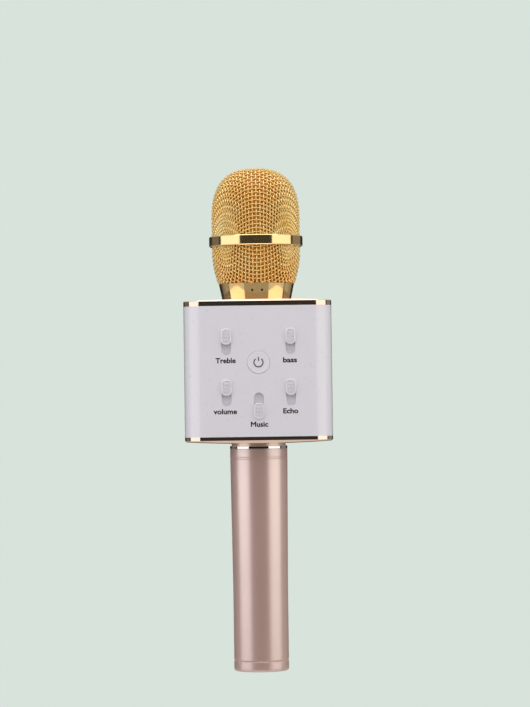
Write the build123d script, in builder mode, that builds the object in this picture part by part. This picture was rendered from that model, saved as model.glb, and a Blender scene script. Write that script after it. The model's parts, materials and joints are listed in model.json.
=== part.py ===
"""Handheld karaoke microphone with a control box, rear speaker and battery handle.

Millimetres, +Z up. The origin is the centre of the handle's end face and the
control panel faces -Y.
"""
import os
from math import cos, radians, sin

from build123d import *

os.makedirs("parts", exist_ok=True)

# Control box
box_w, box_d, corner_r = 72.2, 55.0, 11.3
top_rim, bottom_rim = 2.3, 1.7
wall = 1.8
body_z0, body_z1 = 115.1, 178.7
box_top, box_bottom = 182.3, 111.5
top_dome_r, bottom_dome_r = 800.0, 600.0
spigot_h, spigot_wall, spigot_gap = 2.5, 1.4, 0.1

# Head
grille_r, grille_t, weave_t = 21.8, 0.5, 1.5
grille_top, wall_top = 247.4, 222.0
grille_base, base_r, seam_z = 190.4, 19.0, 211.1
shoulder_z = 203.6
band_r, band_z0, band_z1 = 23.05, 208.6, 213.6
collar_z0, collar_r0, collar_r1 = 182.05, 16.8, 18.5
stub_r, stub_top = 13.0, 189.5
dimple_x, dimple_z = 2.4, 186.6
liner_t, foam_t = 0.4, 3.0

# Controls on the front wall
front = box_d / 2
slot_w, slot_h = 4.6, 12.8
knob_w, knob_h, knob_r, knob_out = 5.0, 7.8, 2.1, 1.0
slide_travel = 5.0
column_x = 15.6
sliders = {
    "treble": (-column_x, 163.7, -1),
    "bass": (column_x, 163.7, -1),
    "volume": (-column_x, 139.0, -1),
    "echo": (column_x, 139.0, -1),
    "music": (0.0, 127.6, 1),
}
button_z, button_r, button_hole_r = 151.1, 5.45, 5.55

# Speaker in the rear half of the box
speaker_z, speaker_r, speaker_open_r = 147.0, 25.2, 21.5

# Ports in the right-hand wall
jack_y, jack_z, jack_bore_r = -5.5, 123.8, 1.8
usb_y, usb_z = 8.0, 122.1

# Boards
board_y = -19.6
boss_x, boss_z = 27.5, (123.0, 171.0)
main_board_z = 119.2

# Handle
tube_bore_r, tube_r_low, tube_r_top = 12.3, 13.5, 14.1
tube_z0, taper_z, tube_z1 = 5.5, 40.0, 104.05
cap_h, plug_top = 4.9, 12.0
trim_z, collar_ring_z, chrome_z, neck_z = 104.1, 105.0, 109.0, 110.5
cell_r, cell_z0, cell_z1 = 9.2, 20.5, 85.0


def save(piece, name):
    piece.part.label = name
    export_step(piece.part, f"parts/{name}.step")


def turned(points, axis=Axis.Z, plane=Plane.XZ):
    """Solid of revolution of a closed outline of (radius, height) points."""
    with BuildPart() as piece:
        with BuildSketch(plane):
            with BuildLine():
                Polyline(*points, close=True)
            make_face()
        revolve(axis=axis)
    return piece


def ring(r_in, r_out, z0, z1, edge=0.0):
    """Plain ring, with its outer rims broken by edge."""
    e = edge
    points = [(r_in, z0), (r_out - e, z0), (r_out, z0 + e), (r_out, z1 - e), (r_out - e, z1), (r_in, z1)]
    return turned([p for i, p in enumerate(points) if p not in points[:i]])


# ---------------------------------------------------------------- head

def dome_solid(t, z0):
    """Upper grille filled solid, t inside its outer surface, down to z0."""
    a, b = grille_r - t, grille_top - wall_top - t
    crown = [(a * cos(u) ** 0.77, wall_top + b * sin(u) ** 0.77) for u in (0.35, 0.75, 1.15)]
    with BuildPart() as solid:
        with BuildSketch(Plane.XZ):
            with BuildLine():
                Line((0, z0), (a, z0))
                Line((a, z0), (a, wall_top))
                Spline((a, wall_top), *crown, (0, wall_top + b), tangents=[(0, 1), (-1, 0)])
                Line((0, wall_top + b), (0, z0))
            make_face()
        revolve(axis=Axis.Z)
    return solid.part


def cup_solid(t, z0, z1):
    """Lower grille filled solid, t inside its outer surface, between z0 and z1."""
    lean = (base_r - t) + 0.29 * (z0 - grille_base)
    with BuildPart() as solid:
        with BuildSketch(Plane.XZ):
            with BuildLine():
                Line((0, z0), (lean, z0))
                Spline((lean, z0), (20.45 - t, 195.4), (grille_r - t, shoulder_z), tangents=[(0.29, 1), (0, 1)])
                Line((grille_r - t, shoulder_z), (grille_r - t, z1))
                Line((grille_r - t, z1), (0, z1))
                Line((0, z1), (0, z0))
            make_face()
        revolve(axis=Axis.Z)
    return solid.part


with BuildPart() as grille_upper:
    add(dome_solid(0, seam_z + 0.05))
    add(dome_solid(grille_t, seam_z - 1), mode=Mode.SUBTRACT)
save(grille_upper, "grille_upper")

with BuildPart() as grille_lower:
    add(cup_solid(0, grille_base + 0.05, seam_z - 0.05))
    add(cup_solid(grille_t, grille_base - 0.5, seam_z + 1), mode=Mode.SUBTRACT)
save(grille_lower, "grille_lower")

grille_band = ring(grille_r + 0.05, band_r, band_z0, band_z1, 0.4)
save(grille_band, "grille_band")

# The collar screws over the stub and carries the lower grille on its upstand.
upstand_r, upstand_z = base_r - weave_t - 0.1, grille_base + 0.5
collar_body = turned([
    (15.1, collar_z0), (collar_r0, collar_z0), (collar_r0 + 0.1, collar_z0 + 0.3),
    (collar_r1, grille_base - 0.3), (collar_r1 - 0.3, grille_base), (upstand_r, grille_base),
    (upstand_r, upstand_z), (16.6, upstand_z), (16.6, grille_base - 1.6),
    (stub_r + 0.08, grille_base - 1.6), (stub_r + 0.08, 183.6), (15.1, 183.6),
])
with BuildPart() as grille_collar:
    add(collar_body.part)
    with BuildSketch(Plane.XZ.offset(18.2)):
        with Locations((-dimple_x, dimple_z), (dimple_x, dimple_z)):
            Circle(0.6)
    extrude(amount=-1.4, mode=Mode.SUBTRACT)
save(grille_collar, "grille_collar")

# Fine inner mesh and foam, both lining the whole head.
liner_out, liner_z = weave_t + 0.1, 191.0
foam_out, foam_z = liner_out + liner_t + 0.3, 192.5
with BuildPart() as grille_liner:
    add(dome_solid(liner_out, seam_z))
    add(cup_solid(liner_out, liner_z, seam_z))
    add(dome_solid(liner_out + liner_t, seam_z), mode=Mode.SUBTRACT)
    add(cup_solid(liner_out + liner_t, liner_z - 1, seam_z), mode=Mode.SUBTRACT)
save(grille_liner, "grille_liner")

with BuildPart() as foam_windscreen:
    add(dome_solid(foam_out, seam_z))
    add(cup_solid(foam_out, foam_z, seam_z))
    add(dome_solid(foam_out + foam_t, seam_z), mode=Mode.SUBTRACT)
    add(cup_solid(foam_out + foam_t, foam_z - 1, seam_z), mode=Mode.SUBTRACT)
save(foam_windscreen, "foam_windscreen")

seal_ring = ring(stub_r + 0.08, 15.0, collar_z0, 183.5)
save(seal_ring, "seal_ring")

head_socket = turned([
    (11.5, 176.6), (15.5, 176.6), (15.5, body_z1 - 0.05), (stub_r, body_z1 - 0.05),
    (stub_r, stub_top - 0.4), (stub_r - 0.4, stub_top), (11.5, stub_top),
])
save(head_socket, "head_socket")

capsule_cup = turned([
    (4.0, 200.0), (10.2, 200.0), (10.2, 178.0), (11.45, 178.0), (11.45, 210.0), (10.2, 210.0),
    (10.2, 202.0), (4.0, 202.0),
])
save(capsule_cup, "capsule_cup")

capsule_boot = turned([
    (3.5, 202.0), (10.15, 202.0), (10.15, 214.0), (8.05, 214.0), (8.05, 205.0), (3.5, 205.0),
])
save(capsule_boot, "capsule_boot")

with BuildPart() as capsule:
    with BuildSketch(Plane.XY.offset(205.0)):
        Circle(8.0)
    extrude(amount=11.0)
    fillet(capsule.edges().group_by(Axis.Z)[-1], 0.6)
    with BuildSketch(Plane.XY.offset(216.0)):
        with PolarLocations(4.6, 6):
            Circle(0.9)
        Circle(0.9)
    extrude(amount=-0.8, mode=Mode.SUBTRACT)
save(capsule, "capsule")


# ---------------------------------------------------------------- box shell

def outline(inset, mode=Mode.ADD):
    """Rounded outline of the box, inset from its outer face."""
    RectangleRounded(box_w - 2 * inset, box_d - 2 * inset, corner_r - inset, mode=mode)


spigot_out = wall + spigot_gap
spigot_in = spigot_out + spigot_wall


# Each end plate has a straight polished rim, a 45 degree bevel and a shallow dome.
with BuildPart() as top_plate:
    with BuildSketch(Plane.XY.offset(body_z1)):
        outline(0)
    extrude(amount=top_rim)
    with BuildSketch(Plane.XY.offset(body_z1 + top_rim)):
        outline(0.05)
    extrude(amount=box_top - body_z1 - top_rim, taper=45)
    with Locations((0, 0, box_top - top_dome_r)):
        Sphere(top_dome_r, rotation=(0, 0, 45), mode=Mode.INTERSECT)
    with BuildSketch(Plane.XY.offset(collar_z0 - 0.05)):
        Circle(17.2)
    extrude(amount=1.0, mode=Mode.SUBTRACT)
    with BuildSketch(Plane.XY.offset(body_z1 - spigot_h)):
        outline(spigot_out)
        outline(spigot_in, Mode.SUBTRACT)
    extrude(amount=spigot_h)
    with BuildSketch(Plane.XY.offset(body_z1)):
        Circle(stub_r + 0.05)
    extrude(amount=5.0, mode=Mode.SUBTRACT)
save(top_plate, "top_plate")

with BuildPart() as bottom_plate:
    with BuildSketch(Plane.XY.offset(body_z0)):
        outline(0)
    extrude(amount=-bottom_rim)
    with BuildSketch(Plane.XY.offset(body_z0 - bottom_rim)):
        outline(0.05)
    extrude(amount=-(body_z0 - bottom_rim - box_bottom), taper=45)
    with Locations((0, 0, box_bottom + bottom_dome_r)):
        Sphere(bottom_dome_r, rotation=(0, 0, 45), mode=Mode.INTERSECT)
    with BuildSketch(Plane.XY.offset(box_bottom - 1.0)):
        Circle(13.6)
    extrude(amount=1.15, mode=Mode.SUBTRACT)
    with BuildSketch(Plane.XY.offset(body_z0)):
        outline(spigot_out)
        outline(spigot_in, Mode.SUBTRACT)
    extrude(amount=spigot_h)
    with BuildSketch(Plane.XY.offset(body_z0)):
        with Locations((-20, -6), (-20, 12), (27, -1), (14, 13)):
            Circle(1.8)
    extrude(amount=main_board_z - body_z0)
    with BuildSketch(Plane.XY.offset(box_bottom - 1.0)):
        Circle(10.05)
    extrude(amount=6.0, mode=Mode.SUBTRACT)
save(bottom_plate, "bottom_plate")


def slot_mid(z, way):
    """Middle height of a slot whose knob rests at z and slides way (up 1, down -1)."""
    return z + way * (slot_h / 2 - 3.9)


with BuildPart() as box_sleeve:
    with BuildSketch(Plane.XY.offset(body_z0)):
        outline(0)
        outline(wall, Mode.SUBTRACT)
    extrude(amount=body_z1 - body_z0)
    with BuildSketch(Plane.XZ.offset(front)):
        for x, z, way in sliders.values():
            with Locations((x, slot_mid(z, way))):
                SlotOverall(slot_h, slot_w, rotation=90)
        with Locations((0, button_z)):
            Circle(button_hole_r)
    extrude(amount=-3.0, mode=Mode.SUBTRACT)
    with BuildSketch(Plane.XZ.offset(-front)):
        with Locations((0, speaker_z)):
            Circle(24.6)
    extrude(amount=1.0, mode=Mode.SUBTRACT)
    with BuildSketch(Plane.XZ.offset(-front)):
        with Locations((0, speaker_z)):
            Circle(22.6)
    extrude(amount=3.0, mode=Mode.SUBTRACT)
    with BuildSketch(Plane.YZ.offset(box_w / 2)):
        with Locations((jack_y, jack_z)):
            Circle(3.0)
        with Locations((usb_y, usb_z)):
            RectangleRounded(8.4, 3.6, 1.2)
    extrude(amount=-3.0, mode=Mode.SUBTRACT)
save(box_sleeve, "box_sleeve")


# ---------------------------------------------------------------- controls

apron_w, apron_h, apron_t = 7.0, 18.6, 0.8
tongue_w, tongue_h, tongue_d = 1.2, 2.4, 3.3
inner_y = -(front - wall)


def slider_knob(x, z):
    """Knob cap with its stem, the apron that closes the slot and the drive tongue."""
    with BuildPart() as knob:
        with BuildSketch(Plane.XZ.offset(front + 0.05)):
            with Locations((x, z)):
                RectangleRounded(knob_w, knob_h, knob_r)
        extrude(amount=knob_out)
        fillet(knob.edges().group_by(Axis.Y)[0], 0.35)
        with BuildSketch(Plane.XZ.offset(front + 0.05 + knob_out)):
            with Locations((x, z)):
                RectangleRounded(knob_w - 1.5, knob_h - 1.5, knob_r - 0.75)
        extrude(amount=-0.35, mode=Mode.SUBTRACT)
        with BuildSketch(Plane.XZ.offset(front + 0.05 + knob_out - 0.35)):
            with Locations((x, z)):
                with GridLocations(1.8, 2.0, 2, 3):
                    Circle(0.6)
        extrude(amount=0.35)
        with BuildSketch(Plane.XZ.offset(front + 0.05)):
            with Locations((x, z)):
                RectangleRounded(slot_w - 0.2, 7.6, slot_w / 2 - 0.11)
        extrude(amount=-wall - 0.2)
        with BuildSketch(Plane.XZ.offset(-inner_y - 0.05)):
            with Locations((x, z)):
                Rectangle(apron_w, apron_h)
        extrude(amount=-apron_t)
        with BuildSketch(Plane.XZ.offset(-inner_y - 0.05 - apron_t)):
            with Locations((x, z)):
                Rectangle(tongue_w, tongue_h)
        extrude(amount=-tongue_d)
    return knob


def slide_pot(x, z):
    """Slide potentiometer on the control board, grooved for the knob's tongue."""
    with BuildPart() as pot:
        with BuildSketch(Plane.XZ.offset(-board_y)):
            with Locations((x, z)):
                Rectangle(8.0, 16.0)
        extrude(amount=4.8)
        with BuildSketch(Plane.XZ.offset(-board_y + 4.8)):
            with Locations((x, z)):
                Rectangle(tongue_w + 0.3, tongue_h + slide_travel + 0.6)
        extrude(amount=-3.6, mode=Mode.SUBTRACT)
    return pot


for label, (knob_x, knob_z, way) in sliders.items():
    save(slider_knob(knob_x, knob_z), f"{label}_knob")
    save(slide_pot(knob_x, knob_z + way * slide_travel / 2), f"{label}_pot")

with BuildPart() as power_button:
    with BuildSketch(Plane.XZ.offset(-inner_y - 0.05)):
        with Locations((0, button_z)):
            Circle(button_r)
    extrude(amount=wall + 0.25)
    fillet(power_button.edges().group_by(Axis.Y)[0], 0.3)
    with BuildSketch(Plane.XZ.offset(front + 0.2)):
        with Locations((0, button_z)):
            Circle(4.2)
    extrude(amount=-0.12, mode=Mode.SUBTRACT)
    with BuildSketch(Plane.XZ.offset(-inner_y - 0.05)):
        with Locations((0, button_z)):
            Circle(6.5)
    extrude(amount=-0.7)
    with BuildSketch(Plane.XZ.offset(-inner_y - 0.75)):
        with Locations((0, button_z)):
            Circle(2.0)
    extrude(amount=-0.5)
save(power_button, "power_button")

with BuildPart() as tact_switch:
    with BuildSketch(Plane.XZ.offset(-board_y)):
        with Locations((0, button_z)):
            Rectangle(6.0, 6.0)
    extrude(amount=3.4)
    with BuildSketch(Plane.XZ.offset(-board_y + 3.4)):
        with Locations((0, button_z)):
            Circle(1.6)
    extrude(amount=0.85)
save(tact_switch, "tact_switch")

with BuildPart() as control_board:
    with BuildSketch(Plane.XZ.offset(-board_y)):
        with Locations((0, 147.0)):
            RectangleRounded(62.0, 55.0, 2.0)
        with Locations(*[(sx * boss_x, z) for sx in (-1, 1) for z in boss_z]):
            Circle(1.25, mode=Mode.SUBTRACT)
    extrude(amount=-1.6)
save(control_board, "control_board")

with BuildPart() as chassis:
    with BuildSketch(Plane.XZ.offset(14.0)):
        with Locations((0, 147.0)):
            Rectangle(67.8, 57.6)
        with Locations((0, 168.0), (0, 124.0)):
            Circle(5.0, mode=Mode.SUBTRACT)
    extrude(amount=-2.0)
    with BuildSketch(Plane.XY.offset(118.2)):
        with Locations((-33.1, 0.5), (33.1, 0.5)):
            Rectangle(1.6, 29.0)
    extrude(amount=57.6)
    with BuildSketch(Plane.XZ.offset(18.0)):
        with Locations(*[(sx * boss_x, z) for sx in (-1, 1) for z in boss_z]):
            Circle(2.6)
            Circle(1.0, mode=Mode.SUBTRACT)
    extrude(amount=-4.0)
    with BuildSketch(Plane.YZ.offset(box_w / 2)):
        with Locations((2.0, 123.0)):
            Rectangle(24.0, 10.0)
    extrude(amount=-5.0, mode=Mode.SUBTRACT)
save(chassis, "chassis")

with BuildPart() as board_screws:
    with BuildSketch(Plane.XZ.offset(-board_y)):
        with Locations(*[(sx * boss_x, z) for sx in (-1, 1) for z in boss_z]):
            Circle(2.1)
    extrude(amount=1.4)
    with BuildSketch(Plane.XZ.offset(-board_y)):
        with Locations(*[(sx * boss_x, z) for sx in (-1, 1) for z in boss_z]):
            Circle(1.0)
    extrude(amount=-5.0)
    with BuildSketch(Plane.XZ.offset(-board_y + 1.4)):
        with Locations(*[(sx * boss_x, z) for sx in (-1, 1) for z in boss_z]):
            Rectangle(2.4, 0.5)
            Rectangle(0.5, 2.4)
    extrude(amount=-0.7, mode=Mode.SUBTRACT)
save(board_screws, "board_screws")


# ---------------------------------------------------------------- speaker

speaker_axis = Axis((0, 0, speaker_z), (0, 1, 0))
speaker_plane = Plane.XY.offset(speaker_z)

with BuildPart() as speaker_grille:
    with BuildSketch(Plane.XZ.offset(-front + 0.05)):
        with Locations((0, speaker_z)):
            Circle(24.5)
    extrude(amount=0.9)
    fillet(speaker_grille.edges().group_by(Axis.Y)[-1], 0.3)
    with BuildSketch(Plane.XZ.offset(-front)):
        with Locations((0, speaker_z)):
            Circle(0.85)
            for row in range(1, 8):
                with PolarLocations(3.0 * row, 6 * row):
                    Circle(0.85)
    extrude(amount=3.0, mode=Mode.SUBTRACT)
save(speaker_grille, "speaker_grille")

with BuildPart() as speaker_frame:
    add(turned([(speaker_open_r, 24.4), (speaker_open_r, 25.6), (speaker_r, 25.6), (speaker_r, 24.4),
                (22.6, 24.4), (14.0, 13.0), (5.5, 13.0), (5.5, 14.2), (13.2, 14.2)],
               speaker_axis, speaker_plane).part)
    with BuildSketch(Plane.XZ.offset(-13.0)):
        with Locations((0, speaker_z)):
            with PolarLocations(17.6, 4, start_angle=45):
                SlotOverall(13.0, 4.6, rotation=90)
    extrude(amount=-11.0, mode=Mode.SUBTRACT)
save(speaker_frame, "speaker_frame")

speaker_surround = turned([
    (18.4, 24.0), (18.4, 24.4), (19.0, 24.4), (19.4, 25.2), (20.0, 25.5), (20.7, 25.2), (21.05, 24.5),
    (21.05, 24.1), (20.6, 24.1), (20.3, 24.8), (20.0, 25.1), (19.7, 24.8), (19.3, 24.0),
], speaker_axis, speaker_plane)
save(speaker_surround, "speaker_surround")

speaker_cone = turned([
    (0, 17.6), (5.2, 15.6), (18.35, 23.4), (18.35, 23.95), (7.0, 17.4), (5.6, 18.6), (3.0, 20.2), (0, 20.7),
], speaker_axis, speaker_plane)
save(speaker_cone, "speaker_cone")

speaker_magnet = turned([
    (0, 4.0), (14.4, 4.0), (15.0, 4.6), (15.0, 12.3), (14.4, 12.9), (5.4, 12.9), (5.4, 14.6), (0, 14.6),
], speaker_axis, speaker_plane)
save(speaker_magnet, "speaker_magnet")


# ---------------------------------------------------------------- main board and ports

with BuildPart() as main_board:
    with BuildSketch(Plane.XY.offset(main_board_z)):
        with Locations((4.0, 3.0)):
            RectangleRounded(55.0, 24.0, 1.5)
    extrude(amount=1.4)
    with BuildSketch(Plane.XY.offset(main_board_z + 1.4)):
        with Locations((-14.0, 4.0)):
            Rectangle(7.0, 7.0)
        with Locations((-4.0, 0.0)):
            Rectangle(5.0, 4.0)
        with Locations((6.0, 8.0), (6.0, -4.0)):
            Circle(2.5)
    extrude(amount=1.6)
save(main_board, "main_board")

with BuildPart() as audio_jack:
    with BuildSketch(Plane.XY.offset(main_board_z + 1.45)):
        with Locations((26.9, jack_y)):
            Rectangle(12.8, 6.6)
    extrude(amount=6.2)
    with BuildSketch(Plane.YZ.offset(33.0)):
        with Locations((jack_y, jack_z)):
            Circle(2.95)
    extrude(amount=2.8)
    with BuildSketch(Plane.YZ.offset(35.8)):
        with Locations((jack_y, jack_z)):
            Circle(jack_bore_r)
    extrude(amount=-14.0, mode=Mode.SUBTRACT)
save(audio_jack, "audio_jack")

with BuildPart() as usb_port:
    with BuildSketch(Plane.YZ.offset(35.6)):
        with Locations((usb_y, usb_z)):
            RectangleRounded(7.6, 2.9, 0.9)
    extrude(amount=-7.0)
    with BuildSketch(Plane.YZ.offset(35.6)):
        with Locations((usb_y, usb_z)):
            RectangleRounded(7.0, 2.3, 0.7)
    extrude(amount=-5.8, mode=Mode.SUBTRACT)
    with BuildSketch(Plane.YZ.offset(29.5)):
        with Locations((usb_y, usb_z + 0.35)):
            Rectangle(5.0, 0.6)
    extrude(amount=5.2)
save(usb_port, "usb_port")


# ---------------------------------------------------------------- handle

handle_neck = turned([
    (6.0, 104.0), (10.2, 104.0), (10.2, 96.0), (tube_bore_r - 0.05, 96.0), (tube_bore_r - 0.05, neck_z),
    (13.3, neck_z), (13.3, 111.6), (10.0, 111.6), (10.0, 117.0), (6.0, 117.0),
])
save(handle_neck, "handle_neck")

with BuildPart() as neck_nut:
    with BuildSketch(Plane.XY.offset(body_z0 + 0.05)):
        RegularPolygon(13.5, 6)
        Circle(10.05, mode=Mode.SUBTRACT)
    extrude(amount=3.0)
save(neck_nut, "neck_nut")

chrome_ring = ring(tube_bore_r, 14.15, chrome_z, neck_z - 0.02, 0.2)
save(chrome_ring, "chrome_ring")

handle_collar = ring(tube_bore_r, tube_r_top, collar_ring_z, chrome_z - 0.05, 0.15)
save(handle_collar, "handle_collar")

trim_ring = ring(tube_bore_r, 14.15, trim_z, collar_ring_z - 0.05, 0.15)
save(trim_ring, "trim_ring")

handle_tube = turned([
    (tube_bore_r, tube_z0), (tube_r_low - 0.15, tube_z0), (tube_r_low, tube_z0 + 0.15), (tube_r_low, taper_z),
    (tube_r_top, tube_z1 - 0.15), (tube_r_top - 0.15, tube_z1), (tube_bore_r, tube_z1),
])
save(handle_tube, "handle_tube")

battery_cell = turned([
    (0, cell_z0), (cell_r, cell_z0), (cell_r, cell_z1), (3.0, cell_z1), (3.0, cell_z1 + 1.5), (0, cell_z1 + 1.5),
])
save(battery_cell, "battery_cell")

battery_sleeve = turned([
    (9.5, 14.0), (12.1, 14.0), (12.1, 16.0), (10.7, 16.0), (10.7, 92.0), (12.1, 92.0), (12.1, 95.0),
    (9.5, 95.0), (9.5, 90.0), (2.0, 90.0), (2.0, 87.5), (9.5, 87.5),
])
save(battery_sleeve, "battery_sleeve")

battery_contact = turned([(0, 86.6), (4.0, 86.6), (4.0, 87.4), (1.8, 87.4), (1.8, 91.0), (0, 91.0)])
save(battery_contact, "battery_contact")

cap_seal = ring(tube_bore_r - 0.02, 13.3, cap_h + 0.05, tube_z0 - 0.05)
save(cap_seal, "cap_seal")

end_cap = turned([
    (0, 0), (12.4, 0), (13.1, 0.3), (13.4, 0.8), (tube_r_low, 1.4), (tube_r_low, cap_h - 0.1),
    (tube_r_low - 0.1, cap_h), (tube_bore_r - 0.1, cap_h), (tube_bore_r - 0.1, plug_top - 0.4),
    (tube_bore_r - 0.5, plug_top), (9.6, plug_top), (9.6, 3.4), (0, 3.4),
])
save(end_cap, "end_cap")

with BuildPart() as contact_spring:
    with BuildLine():
        coil = Helix(pitch=3.14, height=15.7, radius=5.2, center=(0, 0, 4.25))
    with BuildSketch(Plane(origin=coil @ 0, z_dir=coil % 0)):
        Circle(0.4)
    sweep()
    with BuildSketch(Plane.XY.offset(3.45)):
        Circle(7.0)
    extrude(amount=0.6)
save(contact_spring, "contact_spring")
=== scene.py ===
"""Karaoke microphone: looks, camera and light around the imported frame.

Metres in the part's own frame: +Z is up, the control panel faces -Y and the
origin is the centre of the handle's end face. The woven grilles are worked out
in millimetres and scaled when their meshes are made.
"""

import json
from math import atan2, cos, hypot, pi, radians, sin

import bpy
import numpy as np
from mathutils import Matrix, Vector

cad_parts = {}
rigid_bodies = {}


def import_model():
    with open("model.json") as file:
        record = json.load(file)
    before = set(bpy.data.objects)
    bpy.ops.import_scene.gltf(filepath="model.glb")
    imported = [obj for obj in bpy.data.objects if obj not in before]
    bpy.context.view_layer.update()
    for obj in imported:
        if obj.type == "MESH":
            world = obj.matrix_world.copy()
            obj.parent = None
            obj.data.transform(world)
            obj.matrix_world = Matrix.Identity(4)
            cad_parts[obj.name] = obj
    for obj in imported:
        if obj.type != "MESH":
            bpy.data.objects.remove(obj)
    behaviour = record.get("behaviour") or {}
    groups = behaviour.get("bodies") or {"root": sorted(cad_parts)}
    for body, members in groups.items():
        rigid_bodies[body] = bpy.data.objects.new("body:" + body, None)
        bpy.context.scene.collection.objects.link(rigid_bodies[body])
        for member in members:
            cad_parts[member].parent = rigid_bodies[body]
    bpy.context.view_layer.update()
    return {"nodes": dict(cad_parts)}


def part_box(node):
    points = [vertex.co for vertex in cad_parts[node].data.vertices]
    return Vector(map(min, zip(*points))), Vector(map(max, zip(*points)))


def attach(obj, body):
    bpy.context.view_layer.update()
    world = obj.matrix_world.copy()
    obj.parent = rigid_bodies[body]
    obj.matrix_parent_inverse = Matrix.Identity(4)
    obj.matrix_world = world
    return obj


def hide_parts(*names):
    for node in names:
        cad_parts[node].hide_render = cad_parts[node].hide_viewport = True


for leftover in list(bpy.data.objects):
    bpy.data.objects.remove(leftover)
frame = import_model()
nodes = frame["nodes"]
scene = bpy.context.scene
scene.view_settings.view_transform = "Standard"

MM = 0.001


# ---------------------------------------------------------------- materials

class Material:
    """Principled material whose colour, roughness and bump come from its nodes."""

    def __init__(self, name, **constants):
        self.data = bpy.data.materials.new(name)
        self.data.use_nodes = True
        self.tree = self.data.node_tree
        self.shader = self.tree.nodes["Principled BSDF"]
        for key, value in constants.items():
            self.shader.inputs[key.replace("_", " ")].default_value = value
        self.space = self.node("ShaderNodeTexCoord").outputs["Object"]

    def node(self, kind, inputs=(), **props):
        made = self.tree.nodes.new(kind)
        for key, value in props.items():
            setattr(made, key, value)
        for key, value in dict(inputs).items():
            if isinstance(value, bpy.types.NodeSocket):
                self.tree.links.new(value, made.inputs[key])
            else:
                made.inputs[key].default_value = value
        return made

    def link(self, output, socket):
        self.tree.links.new(output, self.shader.inputs[socket])

    def scaled(self, stretch):
        """The object's own coordinates, multiplied by stretch."""
        return self.node("ShaderNodeMapping", {"Vector": self.space, "Scale": stretch}).outputs[0]

    def noise(self, scale, stretch=(1, 1, 1), detail=3.0):
        return self.node("ShaderNodeTexNoise", {
            "Vector": self.scaled(stretch), "Scale": scale, "Detail": detail}).outputs["Fac"]

    def grain(self, scale, stretch=(1, 1, 1)):
        return self.node("ShaderNodeTexVoronoi", {
            "Vector": self.scaled(stretch), "Scale": scale}).outputs["Distance"]

    def rings(self):
        """Angle round the Z axis and height, for lines that follow a turned surface."""
        parts = self.node("ShaderNodeSeparateXYZ", {"Vector": self.space}).outputs
        angle = self.node("ShaderNodeMath", {0: parts[1], 1: parts[0]}, operation="ARCTAN2")
        return self.node("ShaderNodeCombineXYZ", {"X": angle.outputs[0], "Z": parts[2]}).outputs[0]

    def span(self, value, low, high, start=0.3, stop=0.7):
        return self.node("ShaderNodeMapRange", {
            "Value": value, "From Min": start, "From Max": stop, "To Min": low, "To Max": high,
        }).outputs["Result"]

    def blend(self, value, first, second):
        mix = self.node("ShaderNodeMix", data_type="RGBA")
        self.tree.links.new(value, mix.inputs["Factor"])
        mix.inputs[6].default_value = (*first, 1)
        mix.inputs[7].default_value = (*second, 1)
        return mix.outputs[2]

    def colour(self, value, first, second, start=0.3, stop=0.7):
        self.link(self.blend(self.span(value, 0, 1, start, stop), first, second), "Base Color")

    def roughness(self, value, low, high):
        self.link(self.span(value, low, high), "Roughness")

    def bump(self, height, depth):
        made = self.node("ShaderNodeBump", {"Height": height, "Distance": depth, "Strength": 1.0})
        self.link(made.outputs["Normal"], "Normal")


def surface(name, first, second, rough, patches, grain, depth, stretch=(1, 1, 1), **constants):
    """Material with soft colour patches, uneven gloss and a fine bump."""
    made = Material(name, **constants)
    soft = made.noise(patches)
    fine = made.noise(grain, stretch, detail=4.0)
    made.colour(soft, first, second)
    made.roughness(fine, *rough)
    made.bump(fine, depth)
    return made.data


def turned_metal(name, first, second, rough, lines, depth, **constants):
    """Metal with fine lines left by polishing or turning round the axis."""
    made = Material(name, **constants)
    axial = made.node("ShaderNodeMapping", {"Vector": made.rings(), "Scale": lines}).outputs[0]
    fine = made.node("ShaderNodeTexNoise", {
        "Vector": axial, "Scale": 1.0, "Detail": 4.0}).outputs["Fac"]
    made.colour(made.noise(45.0), first, second)
    made.roughness(fine, *rough)
    made.bump(fine, depth)
    return made.data


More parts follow.
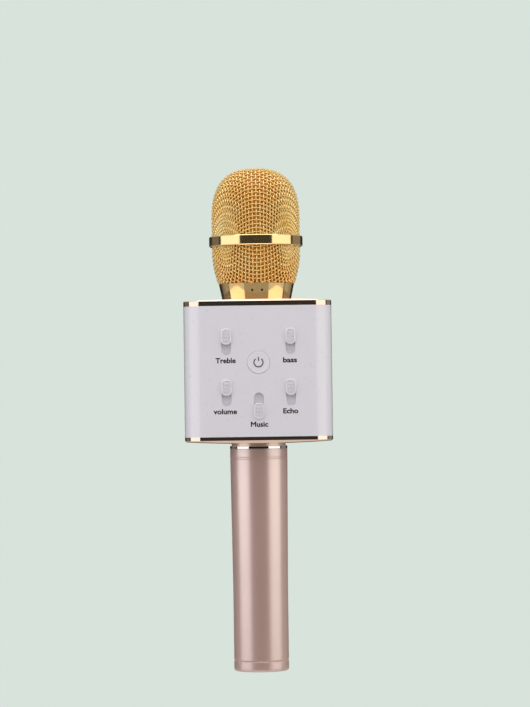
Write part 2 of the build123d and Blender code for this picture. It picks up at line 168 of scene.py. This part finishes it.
slots = {
    "gold_wire": surface("gold_wire", (1.0, 0.69, 0.24), (1.0, 0.8, 0.38), (0.18, 0.3),
                         90.0, 2500.0, 0.00001, Metallic=0.9),
    "polished_gold": turned_metal("polished_gold", (0.96, 0.70, 0.32), (1.0, 0.77, 0.40),
                                  (0.06, 0.14), (60.0, 1.0, 300.0), 0.0000015, Metallic=0.96),
    "rose_gold_polished": turned_metal("rose_gold_polished", (0.96, 0.72, 0.58),
                                       (1.0, 0.78, 0.64), (0.04, 0.09), (12.0, 1.0, 900.0),
                                       0.0000008, Metallic=0.98),
    "rose_gold_satin": surface("rose_gold_satin", (0.74, 0.425, 0.355), (0.78, 0.455, 0.385),
                               (0.36, 0.42), 30.0, 5200.0, 0.000006, Metallic=0.45,
                               IOR=3.2, Coat_Weight=1.0, Coat_IOR=4.0, Coat_Roughness=0.31,
                               Sheen_Weight=0.5, Sheen_Roughness=0.3),
    "rose_silicone": surface("rose_silicone", (0.50, 0.34, 0.29), (0.55, 0.38, 0.33),
                             (0.4, 0.5), 80.0, 4000.0, 0.000004),
    "bright_ring": turned_metal("bright_ring", (0.83, 0.81, 0.79), (0.88, 0.86, 0.84),
                                (0.03, 0.08), (8.0, 1.0, 2500.0), 0.0000006, Metallic=1.0),
    "liner_gold": surface("liner_gold", (0.68, 0.26, 0.014), (0.82, 0.34, 0.025), (0.4, 0.55),
                          60.0, 3200.0, 0.00005, Metallic=0.2),
    "foam": surface("foam", (0.03, 0.025, 0.02), (0.07, 0.06, 0.05), (0.85, 0.95),
                    300.0, 2200.0, 0.0003),
    "body_white": surface("body_white", (0.688, 0.682, 0.755), (0.703, 0.697, 0.77), (0.27, 0.3),
                          15.0, 500.0, 0.0000001, Coat_Weight=0.7, Coat_Roughness=0.06),
    "knob_white": surface("knob_white", (0.70, 0.695, 0.765), (0.715, 0.71, 0.78), (0.26, 0.30),
                          80.0, 1500.0, 0.0000008, Coat_Weight=0.2, Coat_Roughness=0.1),
    "black_rubber": surface("black_rubber", (0.02, 0.02, 0.02), (0.035, 0.034, 0.033),
                            (0.65, 0.8), 120.0, 4000.0, 0.00001),
    "black_plastic": surface("black_plastic", (0.022, 0.022, 0.025), (0.035, 0.035, 0.038),
                             (0.42, 0.55), 90.0, 3500.0, 0.00001),
    "board": surface("board", (0.015, 0.11, 0.045), (0.02, 0.17, 0.07), (0.28, 0.4),
                     400.0, 1800.0, 0.00001),
    "component": surface("component", (0.035, 0.035, 0.038), (0.06, 0.06, 0.065), (0.4, 0.5),
                         300.0, 3000.0, 0.000006),
    "steel": surface("steel", (0.52, 0.52, 0.53), (0.62, 0.62, 0.62), (0.22, 0.36),
                     120.0, 900.0, 0.000004, (1, 1, 12), Metallic=1.0),
    "magnet": surface("magnet", (0.06, 0.06, 0.065), (0.1, 0.1, 0.105), (0.45, 0.6),
                      150.0, 2600.0, 0.00002, Metallic=0.3),
    "paper_cone": surface("paper_cone", (0.035, 0.033, 0.03), (0.06, 0.056, 0.05), (0.75, 0.9),
                          200.0, 2400.0, 0.00004),
    "brass": surface("brass", (0.62, 0.42, 0.16), (0.72, 0.5, 0.2), (0.2, 0.32),
                     100.0, 1200.0, 0.000004, (1, 1, 10), Metallic=1.0),
    "cell_wrap": surface("cell_wrap", (0.02, 0.12, 0.2), (0.03, 0.17, 0.26), (0.25, 0.35),
                         60.0, 1800.0, 0.00001, Coat_Weight=0.4, Coat_Roughness=0.12),
}
ink = surface("printed_ink", (0.002, 0.002, 0.003), (0.006, 0.006, 0.008), (0.6, 0.7),
              700.0, 5000.0, 0.000002, Specular_IOR_Level=0.1)
grey_ink = surface("grey_ink", (0.09, 0.085, 0.09), (0.12, 0.115, 0.12), (0.5, 0.6),
                   700.0, 5000.0, 0.000002, Specular_IOR_Level=0.2)

for node in nodes.values():
    for place in node.material_slots:
        place.material = slots[place.material.name.split(".")[0]]


# ---------------------------------------------------------------- mesh helpers

def add_piece(name, verts, faces, material, body, smooth=True):
    """Mesh object of verts in metres that rides on a body and takes a slot's finish."""
    mesh = bpy.data.meshes.new(name)
    mesh.from_pydata([tuple(v) for v in verts], [], faces)
    mesh.validate()
    mesh.polygons.foreach_set("use_smooth", [smooth] * len(mesh.polygons))
    piece = bpy.data.objects.new(name, mesh)
    scene.collection.objects.link(piece)
    mesh.materials.append(material)
    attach(piece, body)
    return piece


def join(parts):
    """One (verts, faces) pair from several."""
    verts, faces = [], []
    for more_verts, more_faces in parts:
        faces += [tuple(k + len(verts) for k in f) for f in more_faces]
        verts += list(more_verts)
    return verts, faces


# ---------------------------------------------------------------- woven grilles

PITCH, WIRE_R, CRIMP = 1.95, 0.38, 0.35
SIDES, CUTS = 6, 4  # of a wire's section, and points along it from one crossing to the next
STEP = 0.05         # between samples of a profile
WEAVE_IN = 0.75     # from the grille's outer face to the middle of the weave
BUNCH = 0.42        # least spacing of the wires across a diagonal
EASE, SPREAD, DEEP = 0.4, radians(4.0), 42.0  # relaxing of the finished net

GRILLE_R, CROWN_H, WALL_TOP, DOME_POWER = 21.8, 25.4, 222.0, 0.77
COLLAR_TOP, WALL_FOOT, SEAM = 190.4, 203.6, 211.0
UPPER_SPAN, LOWER_SPAN = (211.3, 260.0), (190.48, 210.9)


class Turned:
    """Surface of revolution, by arc length s from the pole and azimuth."""

    def __init__(self, points):
        p = np.array(points, float)
        d = np.concatenate([[0.0], np.cumsum(np.hypot(*np.diff(p, axis=0).T))])
        self.s = np.arange(0.0, d[-1], STEP)
        self.r = np.interp(self.s, d, p[:, 0])
        self.z = np.interp(self.s, d, p[:, 1])
        self.dr, self.dz = np.gradient(self.r, STEP), np.gradient(self.z, STEP)

    def radius(self, s):
        return float(np.interp(s, self.s, self.r))

    def at(self, s, azimuth):
        r = np.interp(s, self.s, self.r)
        return np.array([r * cos(azimuth), r * sin(azimuth), np.interp(s, self.s, self.z)])

    def normal(self, s, azimuth, side):
        """Outward normal; side is +1 where the profile runs down the wall, -1 up it."""
        dr, dz = np.interp(s, self.s, self.dr), np.interp(s, self.s, self.dz)
        n = np.array([-dz * cos(azimuth), -dz * sin(azimuth), dr]) * side
        return n / np.linalg.norm(n)


def crossing_on(surf, azimuth, anchor, low, high):
    """Farthest s between low and high that lies one pitch from anchor."""
    trial = np.linspace(low, high, 60)
    gap = np.array([np.linalg.norm(surf.at(s, azimuth) - anchor) - PITCH for s in trial])
    change = np.where((gap[:-1] <= 0) & (gap[1:] > 0))[0]
    if not len(change):
        return None
    k = change[-1]
    return trial[k] - gap[k] * (trial[k + 1] - trial[k]) / (gap[k + 1] - gap[k])


def meet(surf, a, b, c):
    """Point one pitch from both a and b, on the far side from c."""
    pa, pb, pc = surf.at(*a), surf.at(*b), surf.at(*c)
    guess = pa + pb - pc
    s, azimuth = max(a[0], b[0]) + 0.3 * PITCH, atan2(guess[1], guess[0])
    tiny = 1e-3
    for _ in range(25):
        p = surf.at(s, azimuth)
        turn = tiny / max(surf.radius(s), 1e-3)
        along = (surf.at(s + tiny, azimuth) - p) / tiny
        round_ = (surf.at(s, azimuth + turn) - p) / turn
        miss = [np.dot(p - q, p - q) - PITCH ** 2 for q in (pa, pb)]
        slope = [[2 * np.dot(p - q, along), 2 * np.dot(p - q, round_)] for q in (pa, pb)]
        move = np.linalg.lstsq(np.array(slope), -np.array(miss), rcond=1e-3)[0]
        s += float(np.clip(move[0], -1.0, 1.0))
        azimuth += float(np.clip(move[1], -0.3, 0.3))
        if abs(move[0]) < 1e-5:
            break
    return s, azimuth


def woven_net(surf):
    """Crossings (s, azimuth) of a square-woven sheet drawn over surf, for one quadrant.

    Both wire families keep their pitch, so the cells shear and close up towards
    the diagonals, where a drawn grille bunches.
    """
    count = int(surf.s[-1] / PITCH)
    net = {(i, 0): (i * PITCH, 0.0) for i in range(count)}
    for i in range(1, count):
        for j in range(1, i + 1):
            before = net.get((i, j - 1))
            if before is None:
                break
            anchor = surf.at(*before)
            if j == i:
                s = crossing_on(surf, pi / 4, anchor,
                                before[0] - 0.2 * PITCH, before[0] + 1.1 * PITCH)
                net[i, i] = (before[0] if s is None else s, pi / 4)
                continue
            s, azimuth = meet(surf, net[i - 1, j], before, net[i - 1, j - 1])
            limit = pi / 4 - BUNCH * (i - j) / max(surf.radius(s), 1.0)
            if azimuth > limit:
                azimuth = limit
                again = crossing_on(surf, azimuth, anchor,
                                    before[0] - 0.3 * PITCH, before[0] + 1.1 * PITCH)
                s = s if again is None else again
            net[i, j] = (s, azimuth)
    for (i, j), (s, azimuth) in list(net.items()):
        s -= EASE * sin(2 * azimuth) ** 2 * max(s - PITCH * hypot(i, j), 0.0)
        azimuth -= SPREAD * min(s / DEEP, 1.0) ** 2 * sin(4 * azimuth) * sin(2 * azimuth)
        net[i, j], net[j, i] = (s, azimuth), (s, pi / 2 - azimuth)
    return net


def tube(line, normals):
    """Closed tube of the wire's radius along line."""
    tangents = np.gradient(line, axis=0)
    verts, faces = [], []
    for p, t, n in zip(line, tangents, normals):
        t = t / np.linalg.norm(t)
        across = np.cross(t, n)
        across /= np.linalg.norm(across)
        up = np.cross(across, t)
        for k in range(SIDES):
            turn = 2 * pi * k / SIDES
            verts.append(p + WIRE_R * (cos(turn) * up + sin(turn) * across))
    for ring in range(len(line) - 1):
        for k in range(SIDES):
            a, b = ring * SIDES + k, ring * SIDES + (k + 1) % SIDES
            faces.append((a, a + SIDES, b + SIDES, b))
    last = len(verts) - SIDES
    faces.append(tuple(range(SIDES)))
    faces.append(tuple(range(last + SIDES - 1, last - 1, -1)))
    return verts, faces


def clipped(line, normals, low, high):
    """Stretches of a wire between two heights, cut off level."""
    def cut(k, outside):
        level = low if line[outside][2] < low else high
        share = (level - line[k][2]) / (line[outside][2] - line[k][2])
        return line[k] + share * (line[outside] - line[k])

    inside = (line[:, 2] >= low) & (line[:, 2] <= high)
    k = 0
    while k < len(line):
        if not inside[k]:
            k += 1
            continue
        first = k
        while k < len(line) and inside[k]:
            k += 1
        points, turns = list(line[first:k]), list(normals[first:k])
        if first > 0:
            points.insert(0, cut(first, first - 1))
            turns.insert(0, normals[first])
        if k < len(line):
            points.append(cut(k - 1, k))
            turns.append(normals[k - 1])
        if len(points) > 3:
            yield np.array(points), np.array(turns)


def weave(surf, side, low, high):
    """Plain-woven wires over surf between two heights, as (verts, faces) in millimetres."""
    net = woven_net(surf)
    grid = {}
    for (i, j), (s, azimuth) in net.items():
        p, n = surf.at(s, azimuth), surf.normal(s, azimuth, side)
        for sx in (1, -1):
            for sy in (1, -1):
                grid[sx * i, sy * j] = (p * (sx, sy, 1), n * (sx, sy, 1))
    reach = max(i for i, _ in grid)
    parts = []
    for family in (0, 1):
        for fixed in range(-reach, reach + 1):
            keys = [(fixed, k) if family == 0 else (k, fixed) for k in range(-reach, reach + 1)]
            keys = [key for key in keys if key in grid]
            if len(keys) < 4:
                continue
            knots = np.array([grid[key][0] for key in keys])
            turns = np.array([grid[key][1] for key in keys])
            lifts = np.array([(-1) ** (key[0] + key[1] + family) for key in keys], float)
            line, normals = [], []
            for k in range(len(keys) - 1):
                p0, p1, p2, p3 = (knots[min(max(m, 0), len(keys) - 1)]
                                  for m in range(k - 1, k + 3))
                for cut in range(CUTS):
                    t = cut / CUTS
                    mid = 0.5 * (2 * p1 + (p2 - p0) * t + (2 * p0 - 5 * p1 + 4 * p2 - p3) * t ** 2
                                 + (3 * p1 - p0 - 3 * p2 + p3) * t ** 3)
                    n = turns[k] * (1 - t) + turns[k + 1] * t
                    n /= np.linalg.norm(n)
                    line.append(mid + n * CRIMP * lifts[k] * cos(pi * t))
                    normals.append(n)
            for points, sides in clipped(np.array(line), np.array(normals), low, high):
                parts.append(tube(points, sides))
    return join(parts)


net_r, net_crown = GRILLE_R - WEAVE_IN, CROWN_H - WEAVE_IN
dome = [(net_r * max(cos(t), 0.0) ** DOME_POWER, WALL_TOP + net_crown * sin(t) ** DOME_POWER)
        for t in np.linspace(pi / 2, 0, 400)]
dome[0] = (0.0, WALL_TOP + net_crown)
upper_surface = Turned(dome + [(net_r, 206.0)])

# The lower net starts from a floor inside the collar, so that it is already drawn where it shows.
floor = [(0, 186.0), (8.0, 186.1), (12.0, 186.6), (15.0, 187.6), (17.0, 189.0)]
flare = np.polyfit([COLLAR_TOP, 195.4, WALL_FOOT], [18.25, 19.7, net_r], 2)
cup = [(float(np.polyval(flare, z)), z) for z in np.linspace(COLLAR_TOP, WALL_FOOT, 40)]
lower_surface = Turned(floor + cup + [(net_r, 217.0)])

for name, surf, side, span, hidden in (
    ("woven_grille_upper", upper_surface, 1, UPPER_SPAN, "grille_upper"),
    ("woven_grille_lower", lower_surface, -1, LOWER_SPAN, "grille_lower"),
):
    verts, faces = weave(surf, side, *span)
    woven = add_piece(name, np.array(verts) * MM, faces, slots["gold_wire"], "head")
    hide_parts(hidden)


# ---------------------------------------------------------------- foam behind the grilles

FOAM_IN, FOAM_T, FOAM_BASE = 2.35, 2.6, 192.6
FOAM_AROUND, FOAM_STEP, FOAM_GRAIN = 120, 0.8, 0.22


def foam_shell():
    """Closed bag, open at its foot, that follows the head FOAM_IN inside its outer face."""
    inset = FOAM_IN - WEAVE_IN
    rows = []
    for surf, side, picked in ((upper_surface, 1, lambda z: z >= SEAM),
                               (lower_surface, -1, lambda z: FOAM_BASE <= z < SEAM)):
        steps = np.arange(0.6 if side == 1 else 0.0, surf.s[-1], FOAM_STEP)
        steps = [s for s in steps if picked(np.interp(s, surf.s, surf.z))]
        rows += [(surf, side, s) for s in (steps if side == 1 else reversed(steps))]
    rng = np.random.default_rng(7)
    around = FOAM_AROUND
    layers = []
    for depth in (inset, inset + FOAM_T):
        layer = []
        for surf, side, s in rows:
            for k in range(around):
                azimuth = 2 * pi * k / around
                p, n = surf.at(s, azimuth), surf.normal(s, azimuth, side)
                layer.append(p - n * (depth + rng.uniform(0.0, FOAM_GRAIN)))
        layers.append(layer)
    outer, inner = layers
    size, height = len(outer), len(rows)
    verts = outer + inner
    faces = []
    for row in range(height - 1):
        for k in range(around):
            a, b = row * around + k, row * around + (k + 1) % around
            faces.append((a, a + around, b + around, b))
            faces.append((size + b, size + b + around, size + a + around, size + a))
    for k in range(around):
        a, b = (height - 1) * around + k, (height - 1) * around + (k + 1) % around
        faces.append((a, size + a, size + b, b))
    for offset, layer, way in ((0, outer, 1), (size, inner, -1)):
        verts.append(np.mean(layer[:around], axis=0) + (0, 0, 0.02))
        top = len(verts) - 1
        for k in range(around):
            edge = (offset + k, offset + (k + 1) % around)
            faces.append((top, *edge[::way]))
    return verts, faces


verts, faces = foam_shell()
foam = add_piece("foam_lining", np.array(verts) * MM, faces, slots["foam"], "head")
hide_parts("foam_windscreen")


# ---------------------------------------------------------------- printing on the front

FACE_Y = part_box("box_sleeve")[0].y
PRINT_T = 0.03 * MM
CAP_HEIGHT = 2.7 * MM
FONT_CAP, WEIGHT = 0.73, 0.031  # capital height of Blender's own font, and added boldness


def printed_word(name, word, centre_x, base_z, width):
    """Generic function word printed on the front wall."""
    data = bpy.data.curves.new(name, "FONT")
    data.body, data.size, data.extrude = word, 1.0, 0.5
    data.bevel_depth, data.bevel_resolution, data.resolution_u = WEIGHT, 0, 4
    maker = bpy.data.objects.new(name, data)
    scene.collection.objects.link(maker)
    bpy.context.view_layer.update()
    mesh = bpy.data.meshes.new_from_object(maker)
    bpy.data.objects.remove(maker)
    flat = np.empty(len(mesh.vertices) * 3)
    mesh.vertices.foreach_get("co", flat)
    flat = flat.reshape(-1, 3)
    low, high = flat.min(axis=0), flat.max(axis=0)
    cap = FONT_CAP + 2 * WEIGHT
    verts = np.column_stack([
        centre_x + ((flat[:, 0] - low[0]) / (high[0] - low[0]) - 0.5) * width,
        FACE_Y - PRINT_T * (flat[:, 2] - low[2]) / (high[2] - low[2]),
        base_z + flat[:, 1] / cap * CAP_HEIGHT,
    ])
    faces = [tuple(p.vertices) for p in mesh.polygons]
    bpy.data.meshes.remove(mesh)
    return add_piece(name, verts, faces, ink, "body", smooth=False)


for name, word, x, z, width in (
    ("word_treble", "Treble", -15.9, 151.0, 9.8),
    ("word_bass", "bass", 15.3, 151.0, 6.8),
    ("word_volume", "volume", -16.4, 126.3, 11.4),
    ("word_echo", "Echo", 15.3, 126.3, 7.3),
    ("word_music", "Music", 0.1, 120.0, 8.4),
):
    printed_word(name, word, x * MM, z * MM, width * MM)


def slab(strips, centre_x, centre_z, face_y, thick):
    """Thin closed slabs from lists of (left edge, right edge) point pairs."""
    parts = []
    for pairs in strips:
        verts, faces = [], []
        for y in (face_y, face_y - thick):
            for left, right in pairs:
                verts += [(centre_x + left[0], y, centre_z + left[1]),
                          (centre_x + right[0], y, centre_z + right[1])]
        n = len(pairs) * 2
        for k in range(0, n - 2, 2):
            faces.append((n + k, n + k + 1, n + k + 3, n + k + 2))
            faces.append((k, k + 2, k + 3, k + 1))
            faces.append((k, n + k, n + k + 2, k + 2))
            faces.append((k + 1, k + 3, n + k + 3, n + k + 1))
        faces.append((0, 1, n + 1, n))
        faces.append((n - 2, 2 * n - 2, 2 * n - 1, n - 1))
        parts.append((verts, faces))
    return join(parts)


GRIP_HALF_W, GRIP_HALF_H, GRIP_PITCH, GRIP_T = 1.3 * MM, 0.22 * MM, 1.7 * MM, 0.25 * MM
for name in ("treble", "bass", "volume", "echo", "music"):
    low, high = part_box(name + "_knob")
    middle = (low + high) / 2
    ridges = [[((x, h - GRIP_HALF_H), (x, h + GRIP_HALF_H)) for x in (-GRIP_HALF_W, GRIP_HALF_W)]
              for h in (-GRIP_PITCH, 0.0, GRIP_PITCH)]
    verts, faces = slab(ridges, middle.x, middle.z, low.y, GRIP_T)
    add_piece("grip_" + name, verts, faces, slots["knob_white"], name + "_knob",
              smooth=False)

button_low, button_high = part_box("power_button")
button_z = (button_low.z + button_high.z) / 2
gap, ring_out, line_w = radians(38), 2.45 * MM, 0.55 * MM
ring_in = ring_out - line_w
arc = [((ring_out * sin(a), ring_out * cos(a)), (ring_in * sin(a), ring_in * cos(a)))
       for a in np.linspace(gap, 2 * pi - gap, 48)]
bar = [((-line_w / 2, h), (line_w / 2, h)) for h in (0.7 * MM, 1.7 * MM, 2.7 * MM)]
verts, faces = slab([arc, bar], 0.0, button_z, button_low.y, PRINT_T)
add_piece("power_symbol", verts, faces, grey_ink, "power_button", smooth=False)


# ---------------------------------------------------------------- camera

FRAME_W, FRAME_H, SENSOR = 530, 707, 36.0
AXIS_PX, EYE_PX, MID_PX = 257.4, 410.0, 353.5  # the Z axis, the eye's level and the middle row
DISTANCE, EYE_Z, MM_PER_PX, LEAN = 1.46, 0.128, 0.4932, 0.8
STUDIO_TURN = Matrix.Rotation(radians(-1.1), 4, "Z")

camera_data = bpy.data.cameras.new("camera")
camera_data.sensor_width = SENSOR
camera_data.lens = DISTANCE * SENSOR / (FRAME_H * MM_PER_PX * MM)
camera_data.clip_end = 20.0
camera = bpy.data.objects.new("camera", camera_data)
scene.collection.objects.link(camera)
rise = (EYE_PX - MID_PX) * MM_PER_PX * MM / DISTANCE
place = Matrix.Translation(((FRAME_W / 2 - AXIS_PX) * MM_PER_PX * MM, -DISTANCE, EYE_Z))
camera.matrix_world = (STUDIO_TURN @ place @ Matrix.Rotation(pi / 2 + rise, 4, "X")
                       @ Matrix.Rotation(-radians(LEAN), 4, "Z"))
scene.camera = camera


# ---------------------------------------------------------------- studio

def area_light(name, place, target, width, height, radiance, colour=(1, 1, 1), glossy=True):
    data = bpy.data.lights.new(name, "AREA")
    data.shape, data.size, data.size_y = "RECTANGLE", width, height
    data.energy = pi * width * height * radiance
    data.color = colour
    lamp = bpy.data.objects.new(name, data)
    scene.collection.objects.link(lamp)
    aim = (Vector(target) - Vector(place)).to_track_quat("-Z", "Y").to_matrix().to_4x4()
    lamp.matrix_world = STUDIO_TURN @ Matrix.Translation(place) @ aim
    lamp.visible_camera = False
    lamp.visible_glossy = glossy


def standing_light(name, azimuth, middle, width, height, radiance, colour):
    """Upright softbox one metre from the Z axis, azimuth degrees right of the camera."""
    turn = radians(azimuth)
    area_light(name, (sin(turn), -cos(turn), middle), (0, 0, middle), width, height,
               radiance, colour)


COOL, WARM = (1.0, 0.97, 0.975), (1.0, 0.965, 0.9)
for name, azimuth, colour in (("left", -67.5, COOL), ("right", 67.5, WARM)):
    standing_light("softbox_" + name, azimuth, 0.465, 1.04, 1.03, 1.25, colour)
    standing_light("low_softbox_" + name, azimuth, -0.32, 1.04, 0.52, 0.3, colour)
standing_light("rear_card_left", -120.0, 0.3, 0.6, 1.4, 0.12, COOL)
standing_light("rear_card_right", 122.0, 0.3, 0.7, 1.4, 0.2, WARM)
area_light("top_softbox", (0, -0.15, 1.15), (0, 0, 0.2), 0.9, 0.9, 1.05, (1.0, 0.95, 0.86))
area_light("fill", (0, -1.3, 0.55), (0, 0, 0.15), 1.2, 1.2, 1.35, glossy=False)
for side in (-1, 1):
    area_light("side_fill", (side * 1.3, -0.3, 0.3), (0, 0, 0.15), 1.2, 1.2, 0.55, glossy=False)

world = bpy.data.worlds.new("studio")
scene.world = world
world.use_nodes = True
sky = world.node_tree
direction = sky.nodes.new("ShaderNodeTexCoord").outputs["Generated"]
split = sky.nodes.new("ShaderNodeSeparateXYZ")
sky.links.new(direction, split.inputs[0])
share = sky.nodes.new("ShaderNodeMapRange")
share.inputs["From Min"].default_value = -1.0
sky.links.new(split.outputs["Z"], share.inputs["Value"])
ramp = sky.nodes.new("ShaderNodeValToRGB")
sky.links.new(share.outputs["Result"], ramp.inputs["Fac"])
# Light from all round by the sine of its elevation: dark at eye level, between the softboxes.
SKY = ((-1.0, 0.66), (-0.42, 0.36), (-0.24, 0.3), (-0.12, 0.014),
       (0.12, 0.014), (0.24, 0.3), (0.42, 0.4), (1.0, 0.95))
for level, _ in SKY[1:-1]:
    ramp.color_ramp.elements.new((level + 1) / 2)
for element, (_, glow) in zip(ramp.color_ramp.elements, SKY):
    element.color = (glow, glow * 0.94, glow * 0.88, 1)
sky.links.new(ramp.outputs["Color"], sky.nodes["Background"].inputs["Color"])

BACKDROP = (0.686, 0.768, 0.708)
backdrop_material = bpy.data.materials.new("pale_backdrop")
backdrop_material.use_nodes = True
tree = backdrop_material.node_tree
emission = tree.nodes.new("ShaderNodeEmission")
emission.inputs["Color"].default_value = (*BACKDROP, 1)
tree.links.new(emission.outputs[0], tree.nodes["Material Output"].inputs["Surface"])
ROOM, FLOOR_Z, WALL_Z = 6.0, -0.002, 8.0  # half width, and the heights of floor and wall tops
around = [(-ROOM, -ROOM), (ROOM, -ROOM), (ROOM, ROOM), (-ROOM, ROOM)]
for name, corners, sides in (
    ("floor", [(x, y, FLOOR_Z) for x, y in around], [(0, 1, 2, 3)]),
    ("backdrop", [(x, y, z) for x, y in around for z in (FLOOR_Z, WALL_Z)],
     [(0, 2, 3, 1), (2, 4, 5, 3), (4, 6, 7, 5), (6, 0, 1, 7)]),
):
    mesh = bpy.data.meshes.new(name)
    mesh.from_pydata(corners, [], sides)
    mesh.materials.append(backdrop_material)
    plane = bpy.data.objects.new(name, mesh)
    scene.collection.objects.link(plane)
    plane.visible_diffuse = plane.visible_glossy = plane.visible_shadow = False
